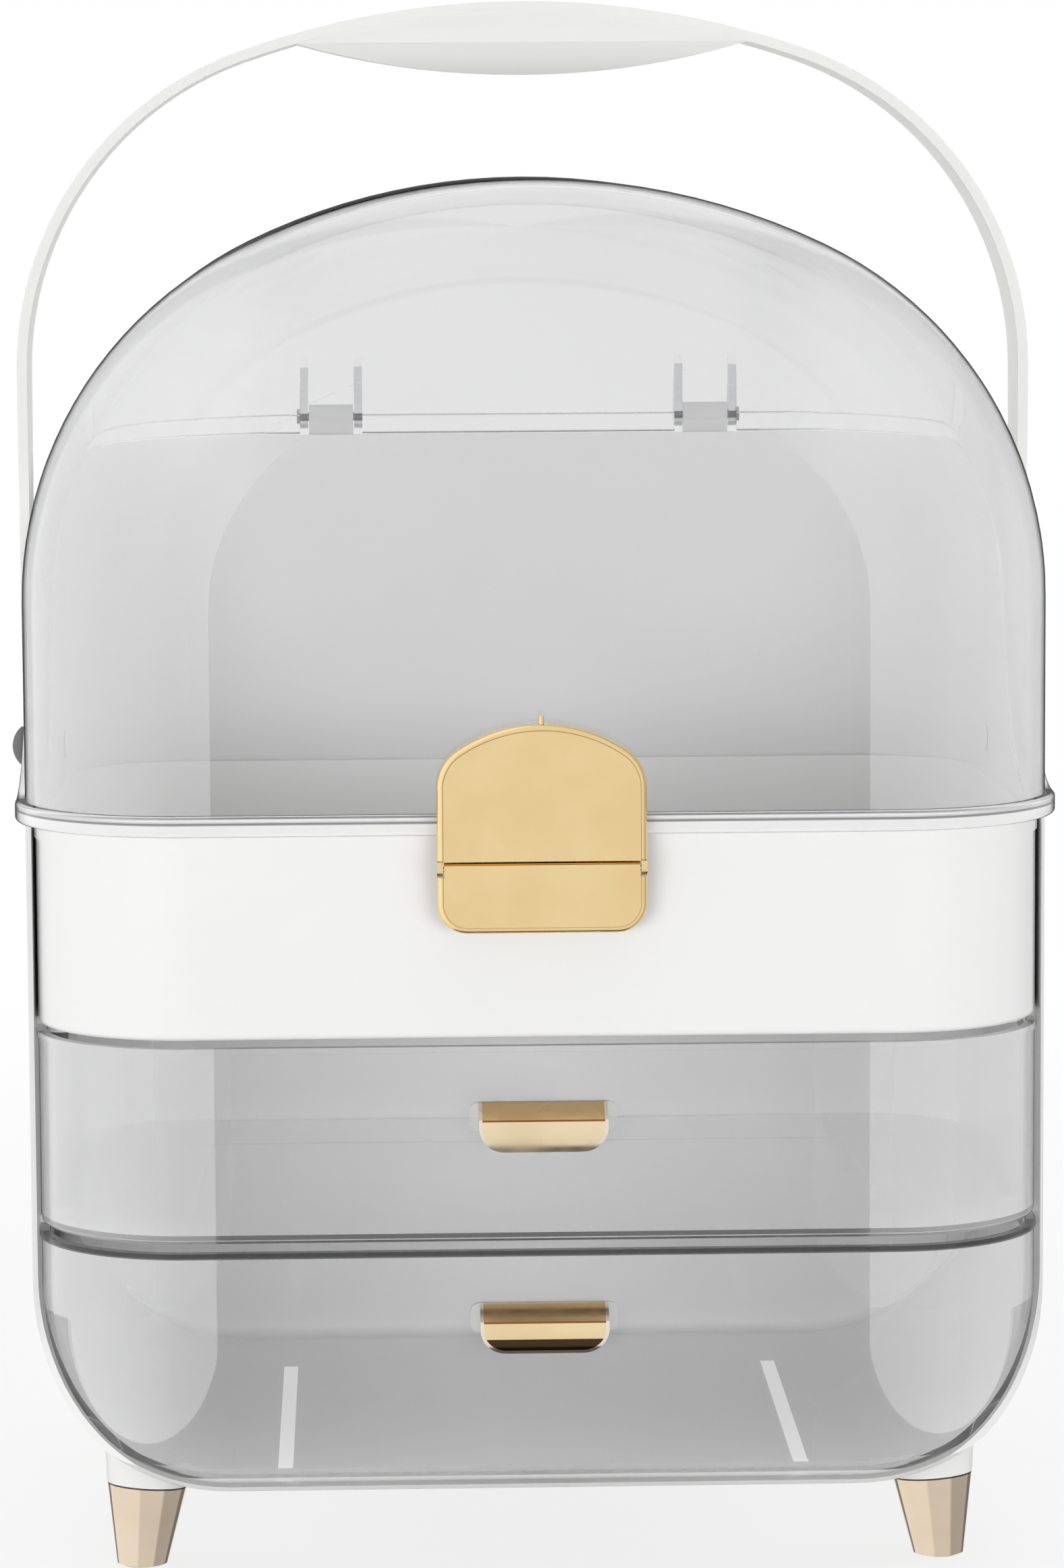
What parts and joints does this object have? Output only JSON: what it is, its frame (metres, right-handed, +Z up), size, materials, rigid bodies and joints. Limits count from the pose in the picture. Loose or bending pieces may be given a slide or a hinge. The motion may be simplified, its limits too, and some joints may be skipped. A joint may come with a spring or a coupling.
{
  "type": "acrylic makeup organizer",
  "caption": "Domed cosmetics box with a clear hinged lid, inner tray, sliding clear drawers, snap latch, swinging carrying handle and small conical feet.",
  "frame": {"origin": "on the floor under the middle of the box", "axes": "+Z up, -Y towards the front with the latch and pulls, +X to the right seen from the front"},
  "size_m": [0.294, 0.2061, 0.423],
  "materials": {
    "white_shell": "glossy white moulding",
    "white_tray": "glossy white moulding",
    "white_handle": "satin white moulding",
    "smoke_clear_lid": "clear grey-tinted plastic",
    "smoke_clear_drawer": "clear grey-tinted plastic",
    "gold_latch": "polished gold plating",
    "gold_pull": "polished gold plating",
    "gold_foot": "polished champagne gold plating",
    "grey_knob": "grey plastic",
    "steel": "bright steel",
    "rubber_pad": "pale rubber"
  },
  "bodies": {
    "case": {"shell": "white_shell", "tray": "white_tray", "tray_screws": "steel", "hinge_pin_left": "steel", "hinge_pin_right": "steel", "latch_keeper": "gold_latch", "pivot_knob_left": "grey_knob", "pivot_knob_right": "grey_knob", "foot_front_left": "gold_foot", "foot_front_right": "gold_foot", "foot_rear_left": "gold_foot", "foot_rear_right": "gold_foot", "foot_pads": "rubber_pad", "foot_screws": "steel"},
    "lid": {"lid": "smoke_clear_lid", "latch_plate": "gold_latch", "latch_pin": "steel"},
    "latch": {"latch_flap": "gold_latch"},
    "carrying_handle": {"handle": "white_handle"},
    "upper_drawer": {"upper_drawer_bin": "smoke_clear_drawer", "upper_drawer_pull": "gold_pull"},
    "lower_drawer": {"lower_drawer_bin": "smoke_clear_drawer", "lower_drawer_pull": "gold_pull"}
  },
  "joints": [
    {"name": "lid_hinge", "type": "hinge", "parent": "case", "child": "lid", "pos_m": [0, 0.0995, 0.304], "axis": [-1, 0, 0], "range_deg": [0, 100]},
    {"name": "latch_hinge", "type": "hinge", "parent": "lid", "child": "latch", "pos_m": [0, -0.1012, 0.195], "axis": [-1, 0, 0], "range_deg": [0, 80]},
    {"name": "upper_drawer_slide", "type": "slide", "parent": "case", "child": "upper_drawer", "axis": [0, -1, 0], "range_m": [0, 0.13]},
    {"name": "lower_drawer_slide", "type": "slide", "parent": "case", "child": "lower_drawer", "axis": [0, -1, 0], "range_m": [0, 0.13]},
    {"name": "handle_swing", "type": "hinge", "parent": "case", "child": "carrying_handle", "pos_m": [0, 0.05, 0.2125], "axis": [-1, 0, 0], "range_deg": [0, 95]}
  ],
  "couplings": [
    {"joint": "handle_swing", "follows": "lid_hinge", "ratio": 0.95}
  ]
}
